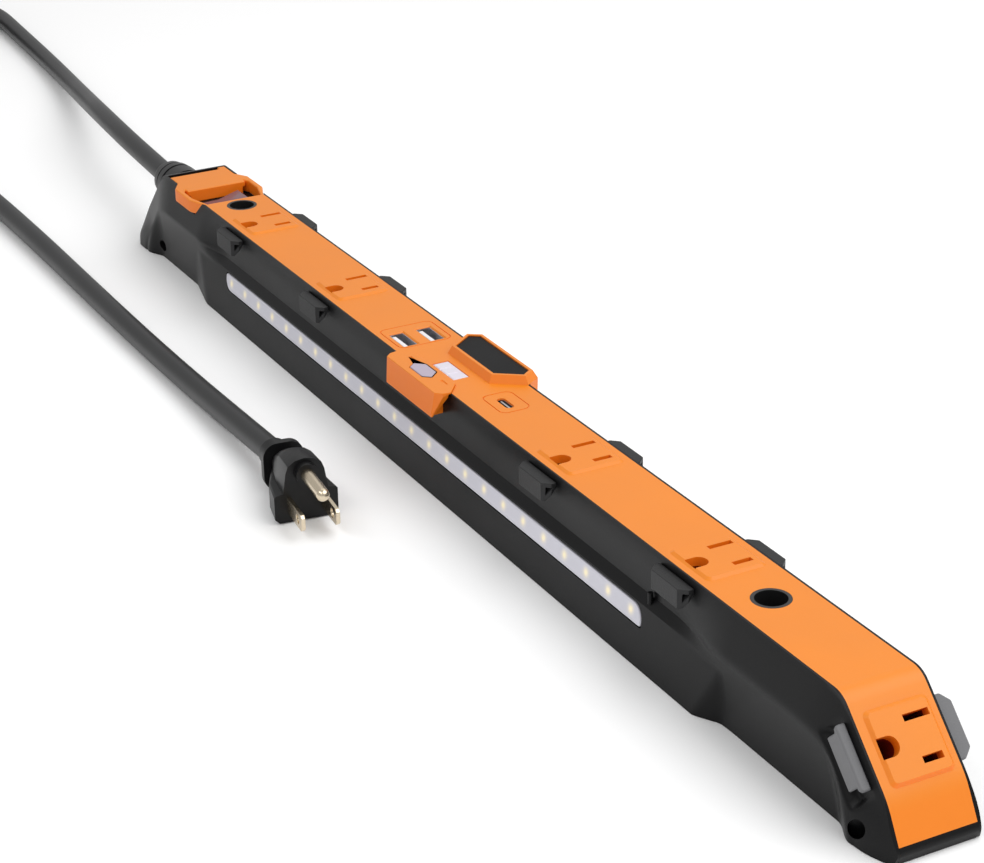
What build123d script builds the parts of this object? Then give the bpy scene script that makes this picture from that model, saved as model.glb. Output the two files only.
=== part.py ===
from build123d import *
import math
import os

os.makedirs("parts", exist_ok=True)

# A long bench power strip with five grounded outlets, three USB ports, a light bar along its
# lower front edge, a guarded rocker switch and a mains cord. X runs along the strip from the
# cord end to the angled outlet, Y runs from the front to the back, and Z is up.
# The origin is the middle of the footprint, on the surface that the strip stands on.

# ---- driving dimensions, millimetres and degrees
BODY_H = 40.0                 # height of the flat top face
TOP_HALF = 259.0              # half length of the flat top, to the bend
SLOPE = 45.5                  # fall of both end faces below the horizontal
SLOPE_RUN = 33.0              # length of the sloping face, bend to lower curl
TOE = 289.2                   # half length at the widest point of the toe
TOE_H = 3.5
RIM_Y = 14.3                  # half width of the black rim around the face panel
SHOULDER_Y = 18.8             # half width at the shoulder
SHOULDER_DEPTH = 14.0         # shoulder line below the rim, square to the top or end face
FOOT_Y = 15.4                 # half width of the straight sides where they meet the base
PANEL_HALF = 13.5
PANEL_T = 2.4
WALL = 2.2
COVER_T = 2.4                 # base cover thickness
COVER_GAP = 0.2

HOLE_X = 203.2                # screw posts 406.4 mm (16 in) apart
POST_R = 6.4
POST_BORE_R = 5.2
SCREW_R = 2.6

OUTLETS_X = (-177.3, -92.1, 88.4, 173.7)
BLADE_PITCH = 12.7            # NEMA 5-15R geometry
GROUND_DROP = 11.9
BLADE_ROW_Y = 4.9
NEUTRAL_L = 8.8
HOT_L = 6.9
SLOT_W = 2.1
GROUND_R = 3.1
END_OUTLET_S = 18.3           # distance of the end outlet down the slope from the bend
PLATE_X = 24.0                # raised outlet plates
PLATE_Y = 23.0
PLATE_T = 0.5
PLATE_BEVEL = 1.6
END_OUTLET_Y = 0.5

CAVITY_Y = 12.4
GLAND_Z = 27.0
CORD_R = 4.75

sin_s = math.sin(math.radians(SLOPE))
cos_s = math.cos(math.radians(SLOPE))
half_turn = math.tan(math.radians(SLOPE / 2))


def save(builder, name):
    builder.part.label = name
    export_step(builder.part, f"parts/{name}.step")


# ---- side outline of the body, drawn in the XZ plane

def end_points(inset):
    """Corners of one end, from the bend in the top down to the base."""
    top = BODY_H - inset
    bend = TOP_HALF - inset * half_turn
    if inset < SHOULDER_DEPTH:
        curl = (bend + SLOPE_RUN * cos_s, top - SLOPE_RUN * sin_s)
        return [(bend, top), curl, (TOE - inset, TOE_H), (TOE - inset - 1.2, 0)]
    foot = bend + top / sin_s * cos_s
    return [(bend, top), (foot - 8 / sin_s * cos_s, 8), (foot - 0.3, 2.5), (foot, 0)]


def outline(inset, y, radii):
    right = end_points(inset)
    left = [(-x, z) for x, z in right]
    with BuildSketch(Plane.XZ.offset(-y)) as sketch:
        with BuildLine():
            Polyline(*right, *reversed(left), close=True)
        make_face()
        for (x, z), radius in zip(right[:3], radii):
            corners = [v for v in sketch.vertices() if abs(abs(v.X) - x) < 0.01 and abs(v.Y - z) < 0.01]
            fillet(corners, radius)
    return sketch.sketch


OUTER_RADII = (9, 25, 2.5)
INNER_RADII = (3, 6, 1)

# plane on the sloping end face, x along Y, y up the slope, with its origin at the bend
end_plane = Plane(origin=(TOP_HALF, 0, BODY_H), x_dir=(0, 1, 0), z_dir=(sin_s, 0, cos_s))


# ---- body shell: one long black moulding, open below and along its top
LAMP_LEDGE = (14.8, 24.2)     # foot of the upper wall over the lamp
LAMP_LIP = (17.2, 20.9)       # top edge of the lamp face
LAMP_TOE = 20.5               # half width of the lamp face at the base
LAMP_X = (-186.0, 159.0)
lamp_lean = math.degrees(math.atan2(LAMP_TOE - LAMP_LIP[0], LAMP_LIP[1]))
LENS_X = (-181.0, 158.3)
LENS_H = 6.9
LENS_MID_Z = 16.5
lens_mid_y = -(LAMP_LIP[0] + (LAMP_LIP[1] - LENS_MID_Z) * math.tan(math.radians(lamp_lean)))
lens_plane = Plane(
    origin=((LENS_X[0] + LENS_X[1]) / 2, lens_mid_y, LENS_MID_Z),
    x_dir=(1, 0, 0),
    z_dir=(0, -math.cos(math.radians(lamp_lean)), math.sin(math.radians(lamp_lean))),
)


def yz_prism(points, x_low, x_high):
    """A bar along X with the given (y, z) section."""
    with BuildPart() as bar:
        with BuildSketch(Plane.YZ.offset(x_low)):
            with BuildLine():
                Polyline(*points, close=True)
            make_face()
        extrude(amount=x_high - x_low)
    return bar.part


def xz_prism(points, y_low, y_high):
    """A block across Y with the given (x, z) section."""
    with BuildPart() as block:
        with BuildSketch(Plane.XZ.offset(-y_low)):
            with BuildLine():
                Polyline(*points, close=True)
            make_face()
        extrude(amount=-(y_high - y_low))
    return block.part


def xy_prism(points, z_low, z_high):
    with BuildPart() as block:
        with BuildSketch(Plane.XY.offset(z_low)):
            with BuildLine():
                Polyline(*points, close=True)
            make_face()
        extrude(amount=z_high - z_low)
    return block.part


def box_at(x, y, z):
    """A box from three (low, high) pairs."""
    block = Box(x[1] - x[0], y[1] - y[0], z[1] - z[0], mode=Mode.PRIVATE)
    return Pos((x[0] + x[1]) / 2, (y[0] + y[1]) / 2, (z[0] + z[1]) / 2) * block


def undercut(side):
    """Takes the lower side wall back from the shoulder to the narrow base, between the two ends."""
    shoulder_z = BODY_H - SHOULDER_DEPTH
    wedge = yz_prism(
        [(side * SHOULDER_Y, shoulder_z), (side * FOOT_Y, 0), (side * 30, 0), (side * 30, shoulder_z)],
        -TOE,
        TOE,
    )
    bend = TOP_HALF - SHOULDER_DEPTH * half_turn
    foot = bend + shoulder_z / sin_s * cos_s
    reach = 10.0
    window = xz_prism(
        [(-foot + reach, 0), (-bend + reach + 2, shoulder_z), (bend - reach - 2, shoulder_z), (foot - reach, 0)],
        min(side * 10, side * 35),
        max(side * 10, side * 35),
    )
    return wedge & window


inner_top = BODY_H - PANEL_T
CLEAT_S = 17.7                # middle of the cleats beside the angled outlet, down the slope
CAVITY = [(280, -1), (280, 10), (279.2, 15.9), (258, inner_top)]
cavity_points = CAVITY + [(-x, z) for x, z in reversed(CAVITY)]
ROCKER_X = -221.3
GUARD_X = (-255.6, -211.2)
GUARD_EDGE = -231.5           # front edge of the hood over the rocker
GUARD_FLOOR = 34.4            # lower edge of the guard's side straps
GUARD_OUT = 17.2              # half width over the side straps
MODULE_X = -1.0               # light switch module on the front edge
MODULE_TOP = 40.8
MODULE_LOW = 31.0
MODULE_FRONT = (19.4, 20.5)   # half widths of its front face, at the top and at the lower edge
BADGE_X = 3.0
BADGE_TOP = 43.0
WINDOW_X = 1.6
BOSS_XY = [(-246, 9.2), (-246, -9.2), (-60, 9.2), (60, -9.2), (60, 9.2), (-60, -9.2), (246, 9.2), (246, -9.2)]
BOSS_R = 3.2
BOSS_TOP = 13.0

# the side straps bow out round the rocker, and the shell is let in for them
strap_outer = [(-244.0, PANEL_HALF), (-237.5, GUARD_OUT), (-221.0, GUARD_OUT), (GUARD_X[1], PANEL_HALF)]
strap_inner = [(GUARD_X[1], 12.2), (-222.0, 15.0), (GUARD_EDGE, 15.0), (-237.0, 12.2), (-244.0, 12.2)]


def strap_prism(side, z_low, grow):
    outer = [(x, side * (y + grow)) for x, y in strap_outer]
    inner = [(x, side * y) for x, y in strap_inner]
    return xy_prism(outer + inner, z_low, BODY_H)


def module_plan(grow):
    """Plan of the light switch module: an octagon over the front edge of the panel."""
    half = [(15.5 + grow, -9.0 + grow), (22.0 + grow, -14.2), (21.4 + grow, -17.2), (18.2 + grow, -20.6)]
    return [(MODULE_X + x, y) for x, y in half] + [(MODULE_X - x, y) for x, y in reversed(half)]


def badge_plan(grow):
    """Plan of the badge: a hexagon over the back edge of the panel."""
    half = [(15.4 + 0.5 * grow, 3.6 - grow), (22.7 + 1.2 * grow, 13.5), (19.4 + 0.6 * grow, 18.2 + grow)]
    return [(BADGE_X + x, y) for x, y in half] + [(BADGE_X - x, y) for x, y in reversed(half)]


def strip_blank(y_half, left_x, low_z):
    """The bent strip that the face panel is made from, following the top and the sloping end."""
    with BuildPart() as strip:
        extrude(outline(0, -y_half, OUTER_RADII), amount=-2 * y_half)
        extrude(outline(PANEL_T, -y_half, (6.6, 22.6, 1)), amount=-2 * y_half, mode=Mode.SUBTRACT)
        add(box_at((-400, left_x), (-50, 50), (-5, 60)), mode=Mode.SUBTRACT)
        add(box_at((-400, 400), (-50, 50), (-5, low_z)), mode=Mode.SUBTRACT)
    return strip.part


WALL_Y = LAMP_LEDGE[0]
UPPER_X = (-200.0, 196.0)     # the upper wall is upright between these, where the cleats sit

BLEND_X = [(-188.0, -219.0), (174.0, 206.0)]


def ledge_blend(side, ledge_x, flank_x):
    """Fills the step between the ledge and the flank, rising towards the end of the body."""
    ledge = [(13, 24.2), (14.8, 24.2), (17.2, 20.9), (13, 20.9)]
    flank = [(13, 38.4), (14.6, 38.4), (18.6, 26.0), (13, 20.9)]
    with BuildPart() as filler:
        for x, corners in ((ledge_x, ledge), (flank_x, flank)):
            with BuildSketch(Plane.YZ.offset(x)):
                with BuildLine():
                    Polyline(*[(side * y, z) for y, z in corners], close=True)
                make_face()
        loft(ruled=True)
    return filler.part


with BuildPart() as body_shell:
    extrude(outline(0, -RIM_Y, OUTER_RADII), amount=-2 * RIM_Y)
    for side in (-1, 1):
        tapered = [outline(0, side * RIM_Y, OUTER_RADII), outline(SHOULDER_DEPTH, side * SHOULDER_Y, INNER_RADII)]
        loft(tapered, ruled=True)
        add(undercut(side), mode=Mode.SUBTRACT)
        # the upper wall stands upright behind the cleats
        ends = [(UPPER_X[0], side * WALL_Y), (UPPER_X[0] - 16, side * 25), (UPPER_X[1] + 16, side * 25)]
        add(xy_prism(ends + [(UPPER_X[1], side * WALL_Y)], LAMP_LEDGE[1], BODY_H + 1), mode=Mode.SUBTRACT)
    # lamp housing along the lower front edge
    lamp_face = [(-WALL_Y, LAMP_LEDGE[1]), (-LAMP_LIP[0], LAMP_LIP[1])]
    for side in (-1, 1):
        bevel = [(side * WALL_Y, LAMP_LEDGE[1]), (side * LAMP_LIP[0], LAMP_LIP[1])]
        bevel += [(side * 25, LAMP_LIP[1]), (side * 25, LAMP_LEDGE[1])]
        add(yz_prism(bevel, BLEND_X[0][0] - 6, BLEND_X[1][0] + 6), mode=Mode.SUBTRACT)
    add(yz_prism([(-WALL_Y, -1), (-WALL_Y, LAMP_LIP[1]), (-25, LAMP_LIP[1]), (-25, -1)], -206, 182), mode=Mode.SUBTRACT)
    housing = yz_prism(lamp_face + [(-LAMP_TOE, 0), (-13, 0), (-13, LAMP_LEDGE[1])], -226, 204)
    plan = xy_prism([(-226, -12), (-226, -14.8), (-199.4, -20.6), (190.7, -20.6), (202, -15.3), (202, -12)], 0, 30)
    add(housing & plan)
    # the ledge runs up into the flanks towards both ends
    for side in (-1, 1):
        for ledge_x, flank_x in BLEND_X:
            add(ledge_blend(side, ledge_x, flank_x))
    # small cord-guide peg at the end of the ledge
    with Locations(Pos(160.4, -16.0, 24.2)):
        Cylinder(0.9, 4.0)
    # hollow inside, open below, and the seat for the face panel along the top
    add(xz_prism(cavity_points, -CAVITY_Y, CAVITY_Y), mode=Mode.SUBTRACT)
    lamp_hollow = [(-12, 3), (-12, 22.4), (-14.4, 21.6), (-15.2, 19.5), (-16.8, 3)]
    add(yz_prism(lamp_hollow, LENS_X[0] - 2, LENS_X[1] + 2), mode=Mode.SUBTRACT)
    # seat for the face panel, the guard and its straps
    add(strip_blank(PANEL_HALF, GUARD_X[0], 5.4), mode=Mode.SUBTRACT)
    for side in (-1, 1):
        add(strap_prism(side, GUARD_FLOOR - 0.3, 0.3), mode=Mode.SUBTRACT)
    add(box_at((GUARD_EDGE - 3, GUARD_X[1]), (-15.2, 15.2), (GUARD_FLOOR - 0.3, 45)), mode=Mode.SUBTRACT)
    # notches under the light switch module and the badge
    add(box_at((MODULE_X - 17, MODULE_X + 17), (-16, -12), (35, 45)), mode=Mode.SUBTRACT)
    add(box_at((BADGE_X - 17, BADGE_X + 17), (12, 16), (35, 45)), mode=Mode.SUBTRACT)
    # lens window through the lamp face
    with BuildSketch(lens_plane.offset(3)):
        Rectangle(LENS_X[1] - LENS_X[0], LENS_H)
    extrude(amount=-8, mode=Mode.SUBTRACT)
    # cord entry through the left end
    with Locations(Pos(-270, 0, GLAND_Z) * Rot(0, 90, 0)):
        Cylinder(6.5, 40, mode=Mode.SUBTRACT)
    # hanging holes near the base: one through the left side, one in the right end's corner
    with Locations(Pos(-261.5, -15, 5.6) * Rot(90, 0, 0)):
        Cylinder(2.6, 8, mode=Mode.SUBTRACT)
    with BuildSketch(Plane(origin=(279.3, -22.8, 9), z_dir=(0.62, -0.62, 0.48))):
        Circle(3.2)
    extrude(amount=-12, mode=Mode.SUBTRACT)
    # pockets beside the angled outlet, which clear its two cord cleats
    for side in (-1, 1):
        with Locations(end_plane * Pos(side * 18.0, -CLEAT_S - 0.5, -6)):
            Box(6.0, 23, 12.1, mode=Mode.SUBTRACT)
    # screw bosses joined to the side walls
    with Locations(*[Pos(x, y, (COVER_T + BOSS_TOP) / 2) for x, y in BOSS_XY]):
        Cylinder(BOSS_R, BOSS_TOP - COVER_T)
    with Locations(*[Pos(x, math.copysign(11.2, y), (COVER_T + BOSS_TOP) / 2) for x, y in BOSS_XY]):
        Box(2.4, 3.2, BOSS_TOP - COVER_T)
    with Locations(*[Pos(x, y, BOSS_TOP / 2) for x, y in BOSS_XY]):
        Cylinder(1.25, BOSS_TOP - 3, mode=Mode.SUBTRACT)
save(body_shell, "body_shell")

# ---- base cover, held by screws, with four rubber pads let into it
FEET_X = (-225, -80, 80, 225)
COVER_HALF = 279.8
with BuildPart() as base_cover:
    with Locations(Pos(0, 0, COVER_T / 2)):
        Box(2 * COVER_HALF, 2 * (CAVITY_Y - COVER_GAP), COVER_T)
    with Locations(*[Pos(x, 0, 0.6) for x in FEET_X]):
        Box(22, 16, 1.2, mode=Mode.SUBTRACT)
    with Locations(*[Pos(x, y, COVER_T / 2) for x, y in BOSS_XY]):
        Cylinder(1.6, COVER_T, mode=Mode.SUBTRACT)
    with Locations(*[Pos(x, y, 0.6) for x, y in BOSS_XY]):
        Cylinder(2.9, 1.2, mode=Mode.SUBTRACT)
    with Locations(Pos(-HOLE_X, 0, COVER_T / 2), Pos(HOLE_X, 0, COVER_T / 2)):
        Cylinder(POST_R + 0.1, COVER_T, mode=Mode.SUBTRACT)
save(base_cover, "base_cover")

with BuildPart() as feet:
    with Locations(*[Pos(x, 0, 0.6) for x in FEET_X]):
        Box(21.6, 15.6, 1.2)
save(feet, "rubber_feet")

with BuildPart() as case_screws:
    with Locations(*[Pos(x, y, 0.75) for x, y in BOSS_XY]):
        Cylinder(2.7, 0.9)
    with Locations(*[Pos(x, y, 5.4) for x, y in BOSS_XY]):
        Cylinder(1.2, 8.4)
    with Locations(*[Pos(x, y, 0.45) for x, y in BOSS_XY]):
        Box(3.6, 0.7, 0.5, mode=Mode.SUBTRACT)
        Box(0.7, 3.6, 0.5, mode=Mode.SUBTRACT)
save(case_screws, "case_screws")

with BuildPart() as posts:
    with Locations(Pos(-HOLE_X, 0, BODY_H / 2), Pos(HOLE_X, 0, BODY_H / 2)):
        Cylinder(POST_R, BODY_H)
        Cylinder(SCREW_R, BODY_H, mode=Mode.SUBTRACT)
    with Locations(Pos(-HOLE_X, 0, BODY_H / 2 + 2.5), Pos(HOLE_X, 0, BODY_H / 2 + 2.5)):
        Cylinder(POST_BORE_R, BODY_H - 5, mode=Mode.SUBTRACT)
save(posts, "screw_posts")


# ---- outlets: each has its geometry in its own plane, x to the hot side, y to the back
def outlet_planes():
    flat = [Plane(origin=(x, 0, BODY_H), x_dir=(1, 0, 0), z_dir=(0, 0, 1)) for x in OUTLETS_X]
    sloped = Plane(
        origin=(TOP_HALF + END_OUTLET_S * cos_s, END_OUTLET_Y, BODY_H - END_OUTLET_S * sin_s),
        x_dir=(cos_s, 0, -sin_s),
        z_dir=(sin_s, 0, cos_s),
    )
    return flat + [sloped]


def slot_sketch(grow=0.0):
    """Neutral slot, hot slot and the D of the ground hole."""
    with Locations((-BLADE_PITCH / 2, BLADE_ROW_Y)):
        Rectangle(SLOT_W + grow, NEUTRAL_L + grow)
    with Locations((BLADE_PITCH / 2, BLADE_ROW_Y)):
        Rectangle(SLOT_W + grow, HOT_L + grow)
    with Locations((0, BLADE_ROW_Y - GROUND_DROP)):
        Circle(GROUND_R + grow / 2)
    with Locations((0, BLADE_ROW_Y - GROUND_DROP - GROUND_R / 2)):
        Rectangle(2 * GROUND_R + grow, GROUND_R + grow)


USB_A = [(-33.8, -6.0), (-33.8, 5.2)]
USB_A_SIZE = (13.2, 5.8)
USB_C = (37.2, -1.0)
USB_C_SIZE = (9.0, 3.3)
WINDOW_SIZE = (17.0, 6.6)
WINDOW_Y = -4.3

with BuildPart() as face_panel:
    add(strip_blank(PANEL_HALF, GUARD_X[1], 5.4))
    for plane in outlet_planes():
        with BuildSketch(plane.offset(-0.2)):
            RectangleRounded(PLATE_X, PLATE_Y, 2.4)
        with BuildSketch(plane.offset(PLATE_T)):
            RectangleRounded(PLATE_X - 2 * PLATE_BEVEL, PLATE_Y - 2 * PLATE_BEVEL, 1.2)
        loft()
    for plane in outlet_planes():
        with BuildSketch(plane.offset(2)):
            slot_sketch()
        extrude(amount=-6, mode=Mode.SUBTRACT)
    # shallow outlines round the USB ports, and the port openings
    with BuildSketch(Plane.XY.offset(BODY_H)):
        with Locations((-35.5, -0.2)):
            RectangleRounded(20.0, 22.0, 3.0)
            RectangleRounded(19.2, 21.2, 2.6, mode=Mode.SUBTRACT)
        with Locations((36.6, -0.4)):
            RectangleRounded(17.0, 12.0, 3.0)
            RectangleRounded(16.2, 11.2, 2.6, mode=Mode.SUBTRACT)
    extrude(amount=-0.35, mode=Mode.SUBTRACT)
    with BuildSketch(Plane.XY.offset(BODY_H + 1)):
        with Locations(*USB_A):
            Rectangle(*USB_A_SIZE)
        with Locations(USB_C):
            RectangleRounded(*USB_C_SIZE, 1.5)
        with Locations((WINDOW_X, WINDOW_Y)):
            Rectangle(*WINDOW_SIZE)
        with Locations((-HOLE_X, 0), (HOLE_X, 0)):
            Circle(POST_R + 0.05)
    extrude(amount=-5, mode=Mode.SUBTRACT)
    add(xy_prism(module_plan(0.05), 30, 50), mode=Mode.SUBTRACT)
    add(box_at((BADGE_X - 15.6, BADGE_X + 15.6), (4.4, 20), (30, 50)), mode=Mode.SUBTRACT)
    mouth = [e for e in face_panel.edges().filter_by(GeomType.LINE) if abs(e.center().Z - BODY_H) < 0.01]
    ports = [e for e in mouth if any(
        abs(e.center().X - x) < 6.7 and abs(e.center().Y - y) < 3.0 for x, y in USB_A)]
    chamfer(ports, 0.5)
save(face_panel, "face_panel")

# ---- guard over the rocker: a hood, a front wall and two bowed side straps
with BuildPart() as guard:
    add(box_at((GUARD_X[0], GUARD_EDGE), (-PANEL_HALF, PANEL_HALF), (inner_top, BODY_H)))
    add(box_at((GUARD_EDGE - 2, GUARD_EDGE), (-12.4, 12.4), (GUARD_FLOOR, BODY_H)))
    for side in (-1, 1):
        add(strap_prism(side, GUARD_FLOOR, 0))
    # the hood's left edge is let in, apart from its back corner
    add(box_at((GUARD_X[0] - 1, GUARD_X[0] + 2.6), (-PANEL_HALF - 1, 10.0), (inner_top - 1, 41)), mode=Mode.SUBTRACT)
save(guard, "switch_guard")

# ---- rocker switch: a body under the guard and a seesaw rocker on two trunnions
ROCKER_Z = 31.0
ROCKER_TILT = 9.0
rocker_section = [(-10.2, 35.9), (0, 34.6), (10.2, 35.9), (10.2, 33.4), (3.0, 28.6), (-3.0, 28.6), (-10.2, 33.4)]
with BuildPart() as rocker_body:
    add(box_at((GUARD_EDGE - 0.3, GUARD_X[1] - 0.2), (-12.0, 12.0), (19, GUARD_FLOOR - 0.1)))
    add(box_at((ROCKER_X - 8.6, ROCKER_X + 8.6), (-11.2, 11.2), (26, 40)), mode=Mode.SUBTRACT)
    with Locations(Pos(ROCKER_X, 0, ROCKER_Z) * Rot(0, 90, 0)):
        Cylinder(1.25, 19.6, mode=Mode.SUBTRACT)
    # spade terminals
    for x in (-6, 0, 6):
        add(box_at((ROCKER_X + x - 2.4, ROCKER_X + x + 2.4), (-0.4, 0.4), (12, 19)))
save(rocker_body, "rocker_body")

with BuildPart() as rocker_blank:
    add(yz_prism(rocker_section, ROCKER_X - 8.3, ROCKER_X + 8.3))
    fillet(rocker_blank.edges().filter_by(Axis.X).group_by(Axis.Z)[-1], 0.6)
    with Locations(Pos(ROCKER_X, 0, ROCKER_Z) * Rot(0, 90, 0)):
        Cylinder(1.2, 19.0)
with BuildPart() as rocker:
    add(rocker_blank.part.rotate(Axis((ROCKER_X, 0, ROCKER_Z), (1, 0, 0)), ROCKER_TILT))
save(rocker, "power_rocker")

# ---- light switch module on the front edge, with its push button
BUTTON = (MODULE_X - 1.0, -13.6)
BUTTON_FLOOR = 36.4
with BuildPart() as module:
    side_view = [(-8.0, MODULE_TOP), (-MODULE_FRONT[0], MODULE_TOP), (-MODULE_FRONT[1], MODULE_LOW)]
    side_view += [(-WALL_Y - 0.05, MODULE_LOW), (-WALL_Y - 0.05, 35.0), (-8.0, 35.0)]
    front_view = [(-22.0, MODULE_TOP), (22.0, MODULE_TOP), (18.3, MODULE_LOW), (-18.3, MODULE_LOW)]
    front_view = xz_prism([(MODULE_X + x, z) for x, z in front_view], -30, 0)
    add(yz_prism(side_view, MODULE_X - 30, MODULE_X + 30) & xy_prism(module_plan(0), 20, 50) & front_view)
    # its underside leans up to the panel at both ends
    lean = [(-19.8, MODULE_LOW - 1), (-19.8, MODULE_LOW), (-WALL_Y, BODY_H - 1.2), (-WALL_Y, MODULE_LOW - 1)]
    add(yz_prism(lean, MODULE_X - 30, MODULE_X - 16.9), mode=Mode.SUBTRACT)
    add(yz_prism(lean, MODULE_X + 16.9, MODULE_X + 30), mode=Mode.SUBTRACT)
    # it is let into the panel, and the wings beyond the notch sit on the panel's edge
    add(box_at((-60, MODULE_X - 16.9), (-WALL_Y - 0.05, 0), (20, BODY_H)), mode=Mode.SUBTRACT)
    add(box_at((MODULE_X + 16.9, 60), (-WALL_Y - 0.05, 0), (20, BODY_H)), mode=Mode.SUBTRACT)
    button_well = [(-7.6, -0.4), (-4.2, 3.4), (4.2, 3.4), (7.6, -0.4), (5.2, -3.2), (-5.2, -3.2)]
    add(xy_prism([(BUTTON[0] + x, BUTTON[1] + y) for x, y in button_well], BUTTON_FLOOR, 45), mode=Mode.SUBTRACT)
    for x in (-12.6, 12.6):
        add(box_at((MODULE_X + x - 2.2, MODULE_X + x + 2.2), (-12.7, -11.7), (40.4, 45)), mode=Mode.SUBTRACT)
save(module, "light_switch_housing")

BUTTON_TRAVEL = 0.8
with BuildPart() as light_button:
    cap = [(x * 0.96, y * 0.93) for x, y in button_well]
    add(xy_prism([(BUTTON[0] + x, BUTTON[1] + y) for x, y in cap], BUTTON_FLOOR + 1.0, MODULE_TOP + 0.2))
    fillet(light_button.faces().sort_by(Axis.Z)[-1].edges(), 0.35)
save(light_button, "light_button")

# ---- badge: an orange frame that laps over the back edge, with a blank dark plate in it
with BuildPart() as badge_frame:
    with BuildSketch(Plane.XY.offset(BODY_H)):
        Polygon(*badge_plan(1.6), align=None)
    with BuildSketch(Plane.XY.offset(BADGE_TOP)):
        Polygon(*badge_plan(0), align=None)
    loft(ruled=True)
    # it hangs down over the back edge
    skirt = [(WALL_Y + 0.05, BODY_H + 0.1), (19.8, BODY_H + 0.1), (19.2, 30.0), (WALL_Y + 0.05, 30.0)]
    add(yz_prism(skirt, BADGE_X - 30, BADGE_X + 30) & xy_prism(badge_plan(1.6), 20, 50))
    # tongue let into the panel
    add(box_at((BADGE_X - 15.5, BADGE_X + 15.5), (4.5, WALL_Y + 0.2), (inner_top - 0.6, BODY_H)))
    add(xy_prism(badge_plan(-1.1), BADGE_TOP - 0.9, 50), mode=Mode.SUBTRACT)
save(badge_frame, "badge_frame")

with BuildPart() as badge_plate:
    add(xy_prism(badge_plan(-1.15), BADGE_TOP - 0.9, BADGE_TOP - 0.4))
save(badge_plate, "badge_plate")

# ---- indicator window with three bars
with BuildPart() as window:
    with Locations(Pos(WINDOW_X, WINDOW_Y, 38.9)):
        Box(WINDOW_SIZE[0] - 0.1, WINDOW_SIZE[1] - 0.1, 1.6)
    for i in (-1, 0, 1):
        with Locations(Pos(WINDOW_X + i * 5.6, WINDOW_Y, 39.8)):
            Box(4.6, WINDOW_SIZE[1] - 0.9, 0.4)
save(window, "indicator_window")

# ---- light bar: lens, circuit strip and its LEDs
LED_COUNT = 24
LED_STEP = 14.2
with BuildPart() as lens:
    with BuildSketch(lens_plane.offset(-1.9)):
        Rectangle(LENS_X[1] - LENS_X[0] - 0.3, LENS_H - 0.3)
    extrude(amount=2.2)
save(lens, "led_lens")

with BuildPart() as led_strip:
    with BuildSketch(lens_plane.offset(-1.9 - 2.2)):
        Rectangle(LENS_X[1] - LENS_X[0] - 3, 6.0)
    extrude(amount=1.0)
save(led_strip, "led_circuit_strip")

with BuildPart() as leds:
    with BuildSketch(lens_plane.offset(-1.9 - 1.2)):
        with GridLocations(LED_STEP, 1, LED_COUNT, 1):
            Rectangle(2.8, 2.2)
    extrude(amount=0.7)
save(leds, "leds")

# ---- receptacle bodies under the panel, with through slots for the blades
for number, plane in enumerate(outlet_planes(), start=1):
    with BuildPart() as receptacle:
        with BuildSketch(plane.offset(-PANEL_T - 0.1)):
            with Locations((0, -0.2)):
                Rectangle(20.6, 22.0)
        extrude(amount=-15.4)
        with BuildSketch(plane):
            slot_sketch(0.2)
        extrude(amount=-20, mode=Mode.SUBTRACT)
    save(receptacle, f"receptacle_{number}")

# ---- brass bus strips along the inside, with a tab up to each outlet
BUS_X = (-188.0, 188.0)
BUS_Z = 17.0


def bus(name, y, tab_x, tab_y):
    with BuildPart() as strip:
        add(box_at(BUS_X, y, (BUS_Z, BUS_Z + 1.0)))
        for outlet_x in OUTLETS_X:
            low_x = outlet_x + tab_x
            add(box_at((low_x - 0.4, low_x + 0.4), tab_y, (BUS_Z, 21.9)))
    save(strip, name)


bus("neutral_bus", (6.6, 10.6), -BLADE_PITCH / 2, (6.6, 9.2))
bus("line_bus", (0.4, 4.4), BLADE_PITCH / 2, (1.6, 4.4))
bus("ground_bus", (-9.6, -5.6), 0.0, (-9.2, -5.6))

with BuildPart() as end_contacts:
    sloped = outlet_planes()[4]
    for x, y in ((-BLADE_PITCH / 2, 4.9), (BLADE_PITCH / 2, 4.9), (0, -7.0)):
        with Locations(sloped * Pos(x, y, -19.6)):
            Box(0.8, 4.0, 3.2)
        with Locations(sloped * Pos(x, y, -21.6)):
            Box(5.0, 4.0, 0.8)
save(end_contacts, "end_contacts")


def wire(points, radius):
    """Insulated wire along straight runs with round bends."""
    with BuildPart() as insulated:
        with BuildLine() as run:
            FilletPolyline(*points, radius=5)
        with BuildSketch(Plane(origin=run.line @ 0, z_dir=run.line % 0)):
            Circle(radius)
        sweep()
    return insulated.part


with BuildPart() as leads:
    # from the cord entry to the switch and on to the bus strips
    add(wire([(-258, -3, 24), (-246, -9.9, 20.4), (-224, -9.9, 15.0), (-188.1, -7.6, 15.8)], 1.1))
    add(wire([(-258, 3, 24), (-246, 9.9, 20.4), (-224, 9.9, 15.0), (-188.1, 8.6, 15.8)], 1.1))
    # from the bus strips round the right screw post to the angled outlet
    add(wire([(170, 8.6, 15.8), (196, 9.6, 14.6), (212, 9.6, 14.6), (246, 5.4, 20.6)], 1.1))
    add(wire([(170, 2.4, 15.8), (192, 9.6, 11.4), (214, 9.6, 11.4), (250, 4.9, 16.2)], 1.1))
    add(wire([(170, -7.6, 15.8), (196, -9.6, 14.6), (212, -9.6, 14.6), (246, -7.0, 15.8)], 1.1))
save(leads, "inner_leads")

# ---- USB board with its ports
with BuildPart() as usb_board:
    add(box_at((-47, 47), (-11.4, 11.4), (25.4, 27.0)))
save(usb_board, "usb_board")

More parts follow.
